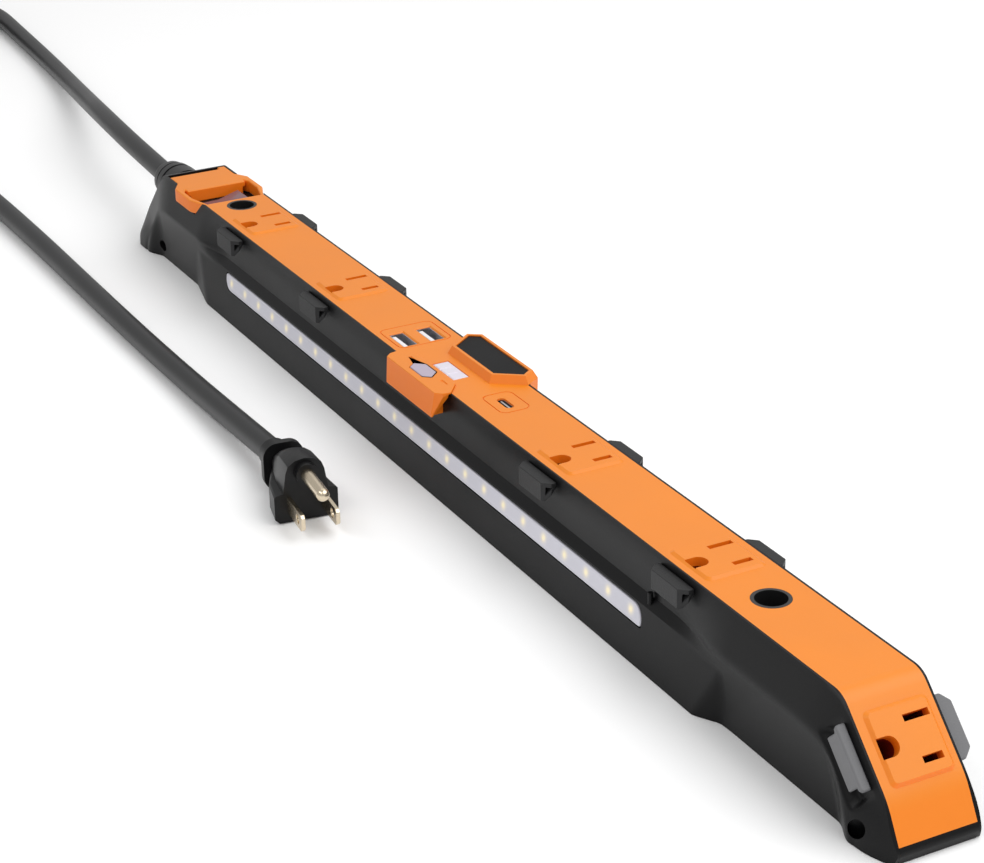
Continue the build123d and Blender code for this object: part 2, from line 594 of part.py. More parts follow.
with BuildPart() as board_parts:
    add(box_at((-16, -2), (-6, 6), (27.0, 34.4)))
    with Locations(Pos(8, 5.4, 30.5), Pos(18, 5.4, 30.5), Pos(22, -5.4, 30.5)):
        Cylinder(4.0, 7.0)
save(board_parts, "usb_converter_parts")

with BuildPart() as usb_a:
    with BuildSketch(Plane.XY.offset(27.0)):
        with Locations(*USB_A):
            Rectangle(13.1, 5.7)
    extrude(amount=12.4)
    with BuildSketch(Plane.XY.offset(28.0)):
        with Locations(*USB_A):
            Rectangle(12.5, 5.1)
    extrude(amount=12, mode=Mode.SUBTRACT)
save(usb_a, "usb_a_shells")

with BuildPart() as tongues:
    for x, y in USB_A:
        add(box_at((x - 5.5, x + 5.5), (y - 2.1, y - 0.6), (28.0, 39.0)))
save(tongues, "usb_a_tongues")

with BuildPart() as usb_c:
    with BuildSketch(Plane.XY.offset(27.0)):
        with Locations(USB_C):
            RectangleRounded(8.9, 3.2, 1.45)
    extrude(amount=12.4)
    with BuildSketch(Plane.XY.offset(31.0)):
        with Locations(USB_C):
            RectangleRounded(8.3, 2.6, 1.2)
            Rectangle(6.6, 0.7, mode=Mode.SUBTRACT)
    extrude(amount=10, mode=Mode.SUBTRACT)
save(usb_c, "usb_c_port")


# ---- cord cleats along both upper walls: hollow three-cornered hooks
CLEAT_H = 6.7


def cleat_section(side, reach, top):
    wall = side * WALL_Y
    tip = side * reach
    outer = [(wall, top), (tip, top), (tip, top - CLEAT_H), (tip - side * 1.0, top - CLEAT_H), (wall, top - 1.8)]
    inner = [(wall + side * 1.4, top - 1.6), (tip - side * 1.3, top - 1.6), (tip - side * 1.2, top - CLEAT_H + 2.2)]
    return outer, inner


def cleat_row(side, reach, top, nose):
    with BuildPart() as row:
        for x in OUTLETS_X:
            outer, inner = cleat_section(side, reach, top)
            add(yz_prism(outer, x - 10, x + 10))
            add(yz_prism(inner, x - 10.1, x + 10.1), mode=Mode.SUBTRACT)
            for end in (-1, 1):
                corner = [(x + end * 10.1, side * (reach - nose)), (x + end * (10 - nose), side * (reach + 0.4))]
                corner += [(x + end * 10.1, side * (reach + 0.4))]
                add(xy_prism(corner, top - 8, top + 1), mode=Mode.SUBTRACT)
    return row


save(cleat_row(-1, 19.4, 37.9, 2.8), "cord_cleats_front")
save(cleat_row(1, 20.3, 38.0, 3.0), "cord_cleats_back")

with BuildPart() as end_cleats:
    for side, reach in ((-1, 18.4), (1, 20.5)):
        nose = reach - 17.6
        top, low = 10 - CLEAT_S, -10 - CLEAT_S
        plan = [(side * 15.0, top), (side * (reach - nose), top), (side * reach, top - nose)]
        plan += [(side * reach, low + nose), (side * (reach - nose), low), (side * 15.0, low)]
        with BuildSketch(end_plane.offset(-2.4)):
            with BuildLine():
                Polyline(*plan, close=True)
            make_face()
        extrude(amount=-1.8)
        with BuildSketch(end_plane.offset(-4.2)):
            with Locations((side * (reach - 0.7), -CLEAT_S)):
                Rectangle(1.4, 18 - 2 * nose)
        extrude(amount=-5.0)
save(end_cleats, "cord_cleats_end")

# ---- strain relief: a stout tapering sleeve with two ribs, from the left end to the cord
RELIEF_X = (-264.0, -292.0)
RELIEF_ROOT_R = 9.6
relief_profile = [
    (-268.0, RELIEF_ROOT_R), (-276.5, RELIEF_ROOT_R), (-276.5, 6.6), (-278.2, 6.6), (-278.2, 9.5), (-282.4, 9.2),
    (-282.4, 6.5), (-284.0, 6.5), (-284.0, 8.8), (-288.2, 8.2), (-288.2, 6.2), (-289.6, 6.2), (-289.6, 7.2),
    (RELIEF_X[1], 6.6), (RELIEF_X[1], 0),
]
with BuildPart() as relief:
    with BuildSketch(Plane.XZ):
        with BuildLine():
            Polyline((-268.0, GLAND_Z), *[(x, GLAND_Z + r) for x, r in relief_profile], close=True)
        make_face()
    revolve(axis=Axis((0, 0, GLAND_Z), (1, 0, 0)))
    extrude(outline(0, -40, OUTER_RADII), amount=-80, mode=Mode.SUBTRACT)
    with Locations(Pos((RELIEF_X[0] - 276) / 2, 0, GLAND_Z) * Rot(0, 90, 0)):
        Cylinder(6.4, 276 + RELIEF_X[0])
save(relief, "strain_relief")


# ---- mains cord: straight runs joined by tangent arcs, in hand-chosen curves
def cord_radii(points):
    radii = []
    for a, b, c in zip(points, points[1:], points[2:]):
        first = Vector(*b) - Vector(*a)
        second = Vector(*c) - Vector(*b)
        turn = math.radians(first.get_angle(second))
        radii.append(0.45 * min(first.length, second.length) / math.tan(turn / 2))
    return radii


def cord_tube(points, name):
    radii = cord_radii(points)
    with BuildPart() as tube:
        with BuildLine() as run:
            FilletPolyline(*points, radius=radii)
        with BuildSketch(Plane(origin=run.line @ 0, z_dir=run.line % 0)):
            Circle(CORD_R)
        sweep()
    length = sum(edge.length for edge in run.edges())
    print(name, "radii", [round(r) for r in radii], "length", round(length, 1))
    print(name, "volume over section times length", tube.part.volume / (math.pi * CORD_R ** 2 * length))
    return tube.part


STRIP_SIDE = [
    (-291, 0, 27), (-340, 2.2, 26.9), (-400, 8, 24.8), (-455, 19, 16), (-515, 30, 8), (-575, 37, 4.85),
    (-635, 40.5, 4.75), (-690, 43.8, 4.76), (-716.1, 31.1, 4.76), (-732.3, 7.1, 4.75), (-734.5, -23.9, 4.75),
]
PLUG_SIDE = [
    (-687, -71.5, 23.9), (-640, -72.4, 17.6), (-597, -73.0, 9.8), (-550, -71.4, 5.4), (-500, -69.0, 4.75),
    (-445, -66.4, 4.75), (-400, -64.2, 4.75), (-350, -62.6, 4.75), (-290, -62.2, 4.75), (-235, -62.7, 4.76),
    (-180, -63.0, 4.75), (-130, -62.7, 4.75), (-78, -62.9, 6.5), (-27, -63.6, 9.4),
]
COIL_CENTRE = (-687.0, -24.0)
COIL_R = 47.5                 # to the middle of the cord
COIL_TOP = 28.7               # three layers of cord

with BuildPart() as coil:
    with BuildSketch(Plane(origin=(COIL_CENTRE[0], COIL_CENTRE[1], 0), x_dir=(1, 0, 0), z_dir=(0, -1, 0))):
        with Locations((COIL_R, COIL_TOP / 2)):
            RectangleRounded(2 * CORD_R, COIL_TOP, CORD_R - 0.05)
    revolve(axis=Axis((COIL_CENTRE[0], COIL_CENTRE[1], 0), (0, 0, 1)))
save(coil, "cord_coil")

cord_lengths = [("cord_strip_side", STRIP_SIDE), ("cord_plug_side", PLUG_SIDE)]
for name, route in cord_lengths:
    with BuildPart() as length_of_cord:
        add(cord_tube(route, name))
    save(length_of_cord, name)

# ---- moulded plug, lying on the surface: x forward along the blades, z up
PLUG_YAW = -6.5
PLUG_FACE = (12.0, -68.0)
plug_frame = Pos(PLUG_FACE[0], PLUG_FACE[1], 0) * Rot(0, 0, PLUG_YAW)
BLADE_Z = 7.0
PIN_Z = BLADE_Z + GROUND_DROP
PLUG_HALF = 11.8              # half width of the face along its foot
STEP_Z = 11.0                 # top of the wide foot at the face
DOME_TOP = 24.2               # over the ground pin
CORD_Z = 9.6                  # middle of the collar at the back
COLLAR_END = -39.0


def plug_section(x, foot, foot_top, dome, top):
    """Closed section of the plug: a wide foot with a narrower dome on it."""
    centre = top - dome * 0.72
    half = [(foot - 1.6, 0.3), (foot, 1.9), (foot, foot_top - 0.6), (foot - 0.6, foot_top)]
    half += [(dome + 0.25 * (foot - dome), foot_top + 0.5)]
    for angle in (0, 30, 60):
        turn = math.radians(angle)
        half += [(dome * math.cos(turn), centre + dome * 0.72 * math.sin(turn))]
    with BuildSketch(Plane.YZ.offset(x)) as section:
        Polygon(*half, (0, top), *[(-y, z) for y, z in reversed(half)], align=None)
    return section.sketch


plug_stations = [
    plug_section(0, PLUG_HALF, STEP_Z, 7.2, DOME_TOP),
    plug_section(-11, 10.4, STEP_Z + 0.3, 6.8, DOME_TOP - 0.6),
    plug_section(-20, 7.0, STEP_Z, 5.6, 19.4),
    plug_section(-26.2, 4.9, STEP_Z - 1, 4.4, 15.6),
]
with BuildPart() as plug_blank:
    for front, back in zip(plug_stations, plug_stations[1:]):
        loft([front, back], ruled=True)
    # flange and collar at the back, with two grooves
    with BuildSketch(Plane.YZ.offset(-26)):
        with Locations((0, CORD_Z + 0.2)):
            RectangleRounded(15.5, 18.6, 5.5)
    extrude(amount=-3)
    with Locations(Pos((COLLAR_END - 28) / 2, 0, CORD_Z) * Rot(0, 90, 0)):
        Cylinder(5.75, -28 - COLLAR_END)
    for x in (-31.6, -35.2):
        with BuildSketch(Plane.YZ.offset(x)):
            with Locations((0, CORD_Z)):
                Circle(6)
                Circle(5.0, mode=Mode.SUBTRACT)
        extrude(amount=-1.2, mode=Mode.SUBTRACT)
    # boss round the foot of the ground pin
    with Locations(Pos(1.5, 0, PIN_Z) * Rot(0, 90, 0)):
        Cylinder(4.0, 3.0)
with BuildPart() as plug_body:
    add(plug_frame * plug_blank.part)
save(plug_body, "plug_body")

BLADE_LENGTH = 16.8
with BuildPart() as blades_blank:
    for y in (-BLADE_PITCH / 2, BLADE_PITCH / 2):
        add(box_at((0, BLADE_LENGTH), (y - 0.75, y + 0.75), (BLADE_Z - 3.15, BLADE_Z + 3.15)))
        with Locations(Pos(12.0, y, BLADE_Z) * Rot(90, 0, 0)):
            Cylinder(1.6, 4, mode=Mode.SUBTRACT)
    tips = blades_blank.edges().filter_by(Axis.Y).group_by(Axis.X)[-1]
    chamfer(tips, 1.2)
with BuildPart() as blades:
    add(plug_frame * blades_blank.part)
save(blades, "plug_blades")

PIN_R = 2.4
PIN_LENGTH = 22.6
with BuildPart() as pin_blank:
    with Locations(Pos((3 + PIN_LENGTH - PIN_R) / 2, 0, PIN_Z) * Rot(0, 90, 0)):
        Cylinder(PIN_R, PIN_LENGTH - PIN_R - 3)
    with Locations(Pos(PIN_LENGTH - PIN_R, 0, PIN_Z)):
        Sphere(PIN_R)
with BuildPart() as ground_pin:
    add(plug_frame * pin_blank.part)
save(ground_pin, "plug_ground_pin")
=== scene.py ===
import math

import bmesh
import bpy
import numpy as np
from mathutils import Matrix, Vector


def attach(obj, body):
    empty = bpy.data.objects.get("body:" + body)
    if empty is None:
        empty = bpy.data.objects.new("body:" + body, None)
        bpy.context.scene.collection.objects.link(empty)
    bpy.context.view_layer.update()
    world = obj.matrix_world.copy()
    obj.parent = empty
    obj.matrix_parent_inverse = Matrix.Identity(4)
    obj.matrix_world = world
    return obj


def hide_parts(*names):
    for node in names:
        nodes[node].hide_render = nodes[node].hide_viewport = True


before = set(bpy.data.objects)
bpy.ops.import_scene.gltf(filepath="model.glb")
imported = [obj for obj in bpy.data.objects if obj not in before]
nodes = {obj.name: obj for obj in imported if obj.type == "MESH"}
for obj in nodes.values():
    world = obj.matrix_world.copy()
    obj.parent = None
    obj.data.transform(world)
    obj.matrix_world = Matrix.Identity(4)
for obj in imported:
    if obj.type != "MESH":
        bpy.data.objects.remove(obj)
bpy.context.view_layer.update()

MM = 0.001


# ---------------------------------------------------------------- camera
CAMERA_AZIMUTH, CAMERA_ELEVATION, CAMERA_ROLL = 62.427, 24.70, -1.053   # degrees
CAMERA_PLACE = Vector((0.7523, -0.3799, 0.4013))
SENSOR_MM, LENS_MM = 36, 92.11


def make_camera():
    """The photograph's viewing angle, through a long lens close by."""
    azimuth, elevation, roll = [math.radians(a) for a in (CAMERA_AZIMUTH, CAMERA_ELEVATION, CAMERA_ROLL)]
    back = Vector((
        math.sin(azimuth) * math.cos(elevation),
        -math.cos(azimuth) * math.cos(elevation),
        math.sin(elevation),
    ))
    level = Vector((math.cos(azimuth), math.sin(azimuth), 0))
    right = level * math.cos(roll) + back.cross(level) * math.sin(roll)
    up = back.cross(right)
    data = bpy.data.cameras.new("camera")
    data.sensor_width = SENSOR_MM
    data.lens = LENS_MM
    data.clip_start, data.clip_end = 0.02, 50
    camera = bpy.data.objects.new("camera", data)
    camera.matrix_world = Matrix((
        (right.x, up.x, back.x, CAMERA_PLACE.x),
        (right.y, up.y, back.y, CAMERA_PLACE.y),
        (right.z, up.z, back.z, CAMERA_PLACE.z),
        (0, 0, 0, 1),
    ))
    bpy.context.scene.collection.objects.link(camera)
    bpy.context.scene.camera = camera


# ---------------------------------------------------------------- cord
CORD_D = 0.0095
CORD_EXIT = (-0.291, 0, 0.027)
STRIP_SIDE = [
    CORD_EXIT, (-0.340, 0.0022, 0.0269), (-0.400, 0.008, 0.0248),
    (-0.455, 0.019, 0.016), (-0.515, 0.030, 0.008), (-0.575, 0.037, 0.00485),
    (-0.635, 0.0405, 0.00475), (-0.690, 0.0438, 0.00476), (-0.7161, 0.0311, 0.00476),
    (-0.7323, 0.0071, 0.00475),
]
PLUG_SIDE = [
    (-0.640, -0.0724, 0.0176), (-0.597, -0.0730, 0.0098), (-0.550, -0.0714, 0.0054),
    (-0.500, -0.0690, 0.00475), (-0.445, -0.0664, 0.00475), (-0.400, -0.0642, 0.00475),
    (-0.350, -0.0626, 0.00475), (-0.290, -0.0622, 0.00475), (-0.235, -0.0627, 0.00476),
    (-0.180, -0.0630, 0.00475), (-0.130, -0.0627, 0.00475), (-0.078, -0.0629, 0.0065),
    (-0.027, -0.0636, 0.0094),
]
COIL_CENTRE = Vector((-0.687, -0.024))
COIL_R = 0.0475
COIL_STEPS = 24                # points in each turn
COIL_FROM, COIL_TO = 188, 270 + 720   # degrees round the coil, with two more whole turns
COIL_RISE = 0.0192             # from the first turn to the last
COIL_GAP = 0.0001              # under the first turn


def coil_turns():
    """Three layers of turns, one on the other, from the left side of the ring to its front."""
    points = []
    first, last = math.radians(COIL_FROM), math.radians(COIL_TO)
    count = int((last - first) / (2 * math.pi) * COIL_STEPS)
    for i in range(count + 1):
        share = i / count
        angle = first + (last - first) * share
        height = CORD_D / 2 + COIL_GAP + COIL_RISE * share
        points.append((
            COIL_CENTRE.x + COIL_R * math.cos(angle),
            COIL_CENTRE.y + COIL_R * math.sin(angle),
            height,
        ))
    return points


def make_cord(material):
    curve = bpy.data.curves.new("mains_cord", "CURVE")
    curve.dimensions = "3D"
    curve.bevel_depth = CORD_D / 2
    curve.bevel_resolution = 6
    curve.resolution_u = 10
    curve.use_fill_caps = True
    spline = curve.splines.new("NURBS")
    points = STRIP_SIDE + coil_turns() + PLUG_SIDE
    spline.points.add(len(points) - 1)
    for point, place in zip(spline.points, points):
        point.co = (*place, 1)
    spline.order_u = 3
    spline.use_endpoint_u = True
    curve.materials.append(material)
    cord = bpy.data.objects.new("mains_cord", curve)
    bpy.context.scene.collection.objects.link(cord)
    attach(cord, "strip")
    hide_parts("cord_strip_side", "cord_coil", "cord_plug_side")
    return cord


# ---------------------------------------------------------------- materials
def new_material(name, color, roughness=0.5, metallic=0.0, **sockets):
    material = bpy.data.materials.new(name)
    material.use_nodes = True
    shader = material.node_tree.nodes["Principled BSDF"]
    shader.inputs["Base Color"].default_value = (*color, 1)
    shader.inputs["Roughness"].default_value = roughness
    shader.inputs["Metallic"].default_value = metallic
    for key, value in sockets.items():
        shader.inputs[key.replace("_", " ")].default_value = value
    return material


CLOUD_SCALE = 34               # broad, faint unevenness of colour and gloss
COLOR_SPREAD, GLOSS_SPREAD = 0.06, 0.05
GRAIN_DEPTH = 0.0002


def moulded(name, color, roughness, grain=0.12, grain_scale=2600, **sockets):
    """Moulded plastic or rubber: slight colour and gloss variation, with a fine spark-eroded grain."""
    material = new_material(name, color, roughness, **sockets)
    tree = material.node_tree
    shader = tree.nodes["Principled BSDF"]
    where = tree.nodes.new("ShaderNodeTexCoord")
    cloud = tree.nodes.new("ShaderNodeTexNoise")
    cloud.inputs["Scale"].default_value = CLOUD_SCALE
    cloud.inputs["Detail"].default_value = 4
    tree.links.new(where.outputs["Object"], cloud.inputs["Vector"])
    tint = tree.nodes.new("ShaderNodeMix")
    tint.data_type = "RGBA"
    tint.inputs["A"].default_value = (*[c * (1 - COLOR_SPREAD) for c in color], 1)
    tint.inputs["B"].default_value = (*[min(c * (1 + COLOR_SPREAD), 1) for c in color], 1)
    tree.links.new(cloud.outputs["Fac"], tint.inputs["Factor"])
    tree.links.new(tint.outputs["Result"], shader.inputs["Base Color"])
    gloss = tree.nodes.new("ShaderNodeMapRange")
    gloss.inputs["To Min"].default_value = roughness - GLOSS_SPREAD
    gloss.inputs["To Max"].default_value = roughness + GLOSS_SPREAD
    tree.links.new(cloud.outputs["Fac"], gloss.inputs["Value"])
    tree.links.new(gloss.outputs["Result"], shader.inputs["Roughness"])
    fine = tree.nodes.new("ShaderNodeTexNoise")
    fine.inputs["Scale"].default_value = grain_scale
    fine.inputs["Detail"].default_value = 2
    tree.links.new(where.outputs["Object"], fine.inputs["Vector"])
    bump = tree.nodes.new("ShaderNodeBump")
    bump.inputs["Strength"].default_value = grain
    bump.inputs["Distance"].default_value = GRAIN_DEPTH
    tree.links.new(fine.outputs["Fac"], bump.inputs["Height"])
    tree.links.new(bump.outputs["Normal"], shader.inputs["Normal"])
    return material


SHADE_FROM, SHADE_TO = 0.68, 0.2   # upward share of a face's normal where the painted side shade starts and is full


def paint_side_shade(material, side_shade_color):
    """Painted shade: gives faces that turn away from the top a deeper, redder orange, for the light that
    falls and bounces on the sides.
    """
    tree = material.node_tree
    shader = tree.nodes["Principled BSDF"]
    plain = shader.inputs["Base Color"].links[0].from_socket
    where = tree.nodes.new("ShaderNodeTexCoord")
    split = tree.nodes.new("ShaderNodeSeparateXYZ")
    tree.links.new(where.outputs["Normal"], split.inputs["Vector"])
    share = tree.nodes.new("ShaderNodeMapRange")
    share.inputs["From Min"].default_value = SHADE_FROM
    share.inputs["From Max"].default_value = SHADE_TO
    tree.links.new(split.outputs["Z"], share.inputs["Value"])
    tint = tree.nodes.new("ShaderNodeMix")
    tint.data_type = "RGBA"
    tree.links.new(share.outputs["Result"], tint.inputs["Factor"])
    tree.links.new(plain, tint.inputs["A"])
    # the painted shade colour of the sides
    tint.inputs["B"].default_value = (*side_shade_color, 1)
    tree.links.new(tint.outputs["Result"], shader.inputs["Base Color"])


def srgb(r, g, b):
    """Linear colour from 8-bit display values."""
    return tuple(((c / 255 + 0.055) / 1.055) ** 2.4 if c > 10 else c / 255 / 12.92 for c in (r, g, b))


M = {
    "orange": moulded("orange_plastic", srgb(226, 129, 26), 0.4, grain=0.10, Specular_IOR_Level=0.4),
    "black": moulded("black_plastic", srgb(13, 13, 14), 0.36, grain=0.16, Specular_IOR_Level=0.17),
    "cleat": moulded("cleat_plastic", srgb(26, 26, 27), 0.5, grain=0.4, Specular_IOR_Level=0.4),
    # painted highlight: the cleat plastic made lighter for the end cleats, for the light they catch on the
    # sloping end
    "cleat_painted_highlight": moulded("cleat_plastic_painted_highlight", srgb(106, 106, 108), 0.5, grain=0.5),
    "cord": moulded("cord_rubber", srgb(30, 30, 31), 0.42, grain=0.15, grain_scale=1500),
    "plug": moulded(
        "plug_rubber", srgb(15, 15, 16), 0.38, grain=0.12, grain_scale=1500, Specular_IOR_Level=0.26,
    ),
    "well": moulded("well_plastic", srgb(22, 22, 23), 0.4, grain=0.1),
    "thermoset": moulded("red_orange_plastic", srgb(120, 26, 8), 0.5),
    "tinted": moulded("tinted_plastic", srgb(150, 112, 118), 0.16, grain=0.02, Transmission_Weight=0.35),
    "lens": moulded("lens_plastic", srgb(206, 205, 214), 0.3, grain=0.03),
    "window": moulded("window_plastic", srgb(214, 210, 222), 0.3, grain=0.03),
    "button": moulded("button_plastic", srgb(176, 164, 180), 0.35, grain=0.03),
    "badge": moulded("badge_black", srgb(12, 12, 13), 0.5, grain=0.2, Specular_IOR_Level=0.15),
    "white": moulded("white_plastic", srgb(226, 226, 230), 0.4),
    "wire": moulded("wire_insulation", srgb(60, 60, 60), 0.5),
    "board": moulded("circuit_board", srgb(28, 84, 52), 0.5),
    "chip": moulded("component_black", srgb(28, 28, 28), 0.4),
    "strip_board": moulded("circuit_white", srgb(228, 228, 222), 0.5),
    "led": moulded("led_phosphor", srgb(250, 226, 160), 0.3, Emission_Strength=0.6),
    "rubber": moulded("rubber", srgb(34, 34, 34), 0.7, grain=0.3),
    "steel": moulded("steel", srgb(170, 170, 172), 0.35, metallic=1.0, grain=0.05),
    "port": moulded("port_metal", srgb(196, 196, 200), 0.3, metallic=1.0, grain=0.02),
    "plug_metal": moulded("plug_metal", srgb(214, 200, 176), 0.26, metallic=1.0, grain=0.03),
    "brass": moulded("brass", srgb(206, 168, 92), 0.3, metallic=1.0, grain=0.03),
}
NODE_LOOK = {
    "body_shell": "black", "base_cover": "black", "face_panel": "orange", "switch_guard": "orange",
    "rocker_body": "chip", "power_rocker": "tinted", "line_bus": "brass", "neutral_bus": "brass",
    "ground_bus": "brass", "end_contacts": "brass", "inner_leads": "wire", "usb_board": "board",
    "usb_converter_parts": "chip", "usb_a_shells": "port", "usb_a_tongues": "white", "usb_c_port": "port",
    "led_lens": "lens", "led_circuit_strip": "strip_board", "leds": "led", "light_switch_housing": "orange",
    "light_button": "button", "indicator_window": "window", "badge_frame": "orange", "badge_plate": "badge",
    "screw_posts": "well", "rubber_feet": "rubber", "cord_cleats_front": "cleat", "cord_cleats_back": "cleat",
    "cord_cleats_end": "cleat", "case_screws": "steel", "strain_relief": "cord", "plug_body": "cord",
    "plug_blades": "plug_metal", "plug_ground_pin": "plug_metal",
    "receptacle_1": "thermoset", "receptacle_2": "thermoset", "receptacle_3": "thermoset",
    "receptacle_4": "thermoset", "receptacle_5": "thermoset",
}

# painted shade: a deeper, redder orange on the faces turned away from the top
paint_side_shade(M["orange"], srgb(240, 122, 20))
make_camera()
cord = make_cord(M["cord"])
for name, look in NODE_LOOK.items():
    mesh = nodes[name].data
    mesh.materials.clear()
    mesh.materials.append(M[look])


# ---------------------------------------------------------------- body shell, in millimetres
RIM_Y, SEAT_Y, INNER_Y = 14.3, 13.5, 12.45    # rim round the panel, the panel's seat, inner wall
RIM_DEPTH = 1.6                # below the top, where the rim has flared out to the wall
WALL_Y, LEDGE_Z = 14.8, 24.2   # upright upper wall, and the ledge under it
LIP_Y, LIP_Z, LAMP_TOE_Y = 17.2, 20.9, 20.5   # the lamp face's upper lip, and its toe on the floor
LAMP_LEFT = (-224.8, 25.4)     # the lamp housing's left end and its run back to full width
LAMP_RIGHT = (202.6, 10.0, 0.26)   # its right end, its run, and how far the end leans for each mm of height
SHOULDER_Y, SHOULDER_Z, FOOT_Y = 18.8, 26.0, 15.4   # widest line of both ends, and the narrower foot
FLARE = (LIP_Y - WALL_Y) / (LEDGE_Z - LIP_Z)
HOLLOW = 1.9                   # how quickly the side falls back under the shoulder
SWELL_LEFT, SWELL_RIGHT, SWELL_Z = 2.8, 0.7, (3, 17)   # bulge of the two toes, and where it fades out
END_SOFTNESS, TOE_SOFTNESS, EDGE_SOFTNESS, LAMP_SOFTNESS, BACK_SOFTNESS = 7.0, 5.0, 0.9, 0.5, 0.6
FOOT_X, FOOT_LEAN = (262, 273), 0.25   # where the side comes down straight to the toe
FAR = 60                       # more than any distance in from an edge
BLEND_LEFT, BLEND_RIGHT = (-212, -185), (172, 207)   # from the end's section to the middle's, and back
POCKET_Y = 15.0                # floor of the pockets beside the angled outlet
POCKET_TOP, POCKET_FOOT = (5.4, 8.0), (28.6, 31.0)   # down the slope, where a pocket starts and ends
POCKET_IN = (9.6, 12.6)        # below the slope, where it ends
BODY_H, TOP_HALF, TOE, TOE_H = 40.0, 259.0, 289.2, 3.5
SLOPE = math.radians(45.5)
SIN, COS = math.sin(SLOPE), math.cos(SLOPE)
CURL = (TOP_HALF + 33 * COS, BODY_H - 33 * SIN)


def smooth_step(low, high, value):
    share = np.clip((value - low) / (high - low), 0, 1)
    return share * share * (3 - 2 * share)


def soft_min(a, b, width):
    """The lesser of two values, rounded where they cross."""
    blend = np.clip(0.5 + 0.5 * (b - a) / width, 0, 1)
    return b * (1 - blend) + a * blend - width * blend * (1 - blend)


def rounded_path(points, radii, steps=14):
    """An open path with its inner corners rounded."""
    path = [Vector(points[0])]
    for before, corner, after, radius in zip(points, points[1:], points[2:], radii):
        corner = Vector(corner)
        to_before = (Vector(before) - corner).normalized()
        to_after = (Vector(after) - corner).normalized()
        half = to_before.angle(to_after) / 2
        reach = radius / math.tan(half)
        centre = corner + (to_before + to_after).normalized() * radius / math.sin(half)
        start = corner + to_before * reach - centre
        finish = corner + to_after * reach - centre
        sweep = start.angle_signed(finish)
        for i in range(steps + 1):
            turn = Matrix.Rotation(-sweep * i / steps, 2)
            path.append(centre + turn @ start)
    path.append(Vector(points[-1]))
    return path


END_PATH = rounded_path([(200, BODY_H), (TOP_HALF, BODY_H), CURL, (TOE, TOE_H), (TOE - 1.2, 0)], (9, 25, 2.5))
widest = max(range(len(END_PATH)), key=lambda i: END_PATH[i].x)
UPPER_PATH = np.array([tuple(p) for p in END_PATH[:widest + 1]])
LOWER_PATH = np.array([tuple(p) for p in END_PATH[widest:]][::-1])
SHELL_END = UPPER_PATH[-1, 0] - 0.05


def side_y(x, z, front):
    """Half width of the shell at a place on its side."""
    reach = np.abs(x)
    slope_inset = (TOP_HALF - reach) * SIN + (BODY_H - z) * COS
    inset = soft_min(soft_min(BODY_H - z, slope_inset, END_SOFTNESS), TOE - reach, TOE_SOFTNESS)
    inset = np.clip(inset, 0, FAR)
    rise = inset / (BODY_H - SHOULDER_Z)
    bulge = (1 - smooth_step(*SWELL_Z, z)) * (1 - np.clip(rise, 0, 1))
    swell = np.where(x < 0, SWELL_LEFT, SWELL_RIGHT) * bulge
    flange = RIM_Y + (SHOULDER_Y - RIM_Y) * rise * (1 + swell)
    below = FOOT_Y + (SHOULDER_Y - FOOT_Y) * (np.clip(z, 0, FAR) / SHOULDER_Z) ** HOLLOW
    foot = smooth_step(*FOOT_X, reach + FOOT_LEAN * z)
    below = below * (1 - foot) + (SHOULDER_Y + 0.3) * foot
    flank = soft_min(flange, below, EDGE_SOFTNESS)
    upper = RIM_Y + (WALL_Y - RIM_Y) * np.clip((BODY_H - z) / RIM_DEPTH, 0, 1)
    ledge = upper + FLARE * np.clip(LEDGE_Z - z, 0, FAR)
    if front:
        lamp = LIP_Y + (LIP_Z - z) * (LAMP_TOE_Y - LIP_Y) / LIP_Z
        middle = soft_min(ledge, lamp, LAMP_SOFTNESS)
        left = WALL_Y + (x - LAMP_LEFT[0]) * (LAMP_TOE_Y - WALL_Y) / LAMP_LEFT[1]
        right = WALL_Y + (LAMP_RIGHT[0] + LAMP_RIGHT[2] * z - x) * (LAMP_TOE_Y - WALL_Y) / LAMP_RIGHT[1]
        housing = soft_min(soft_min(lamp, left, LAMP_SOFTNESS), right, LAMP_SOFTNESS)
        housing = np.where(z < LIP_Z + 0.01, housing, 0)
    else:
        middle = soft_min(ledge, FOOT_Y + (SHOULDER_Y - FOOT_Y) * z / SHOULDER_Z, BACK_SOFTNESS)
        housing = 0 * z
    share = smooth_step(*BLEND_LEFT, x) * (1 - smooth_step(*BLEND_RIGHT, x))
    shape = np.maximum(flank * (1 - share) + middle * share, housing)
    down = (reach - TOP_HALF) * COS + (BODY_H - z) * SIN
    pocket = smooth_step(*POCKET_TOP, down) * (1 - smooth_step(*POCKET_FOOT, down))
    pocket = pocket * (1 - smooth_step(*POCKET_IN, slope_inset))
    pocket = np.where(x > 0, pocket, 0)
    return shape * (1 - pocket) + np.minimum(shape, POCKET_Y) * pocket


# heights and stations of the side's mesh, closer together where its section changes
SIDE_ROWS = np.unique(np.round(np.concatenate([
    np.arange(0, 40.01, 0.9), [20.4, 20.9, 21.4, 23.8, 24.2, 24.6, 25.6, 26, 26.4, 38.4, 39.7, 40],
]), 3))
STATIONS = np.concatenate([
    np.arange(-SHELL_END, -250, 0.9), np.arange(-250, -180, 1.8), np.arange(-180, 160, 5),
    np.arange(160, 212, 1.6), np.arange(212, 250, 2.5), np.arange(250, SHELL_END, 0.7), [SHELL_END],
])


MERGE_MM = 0.001


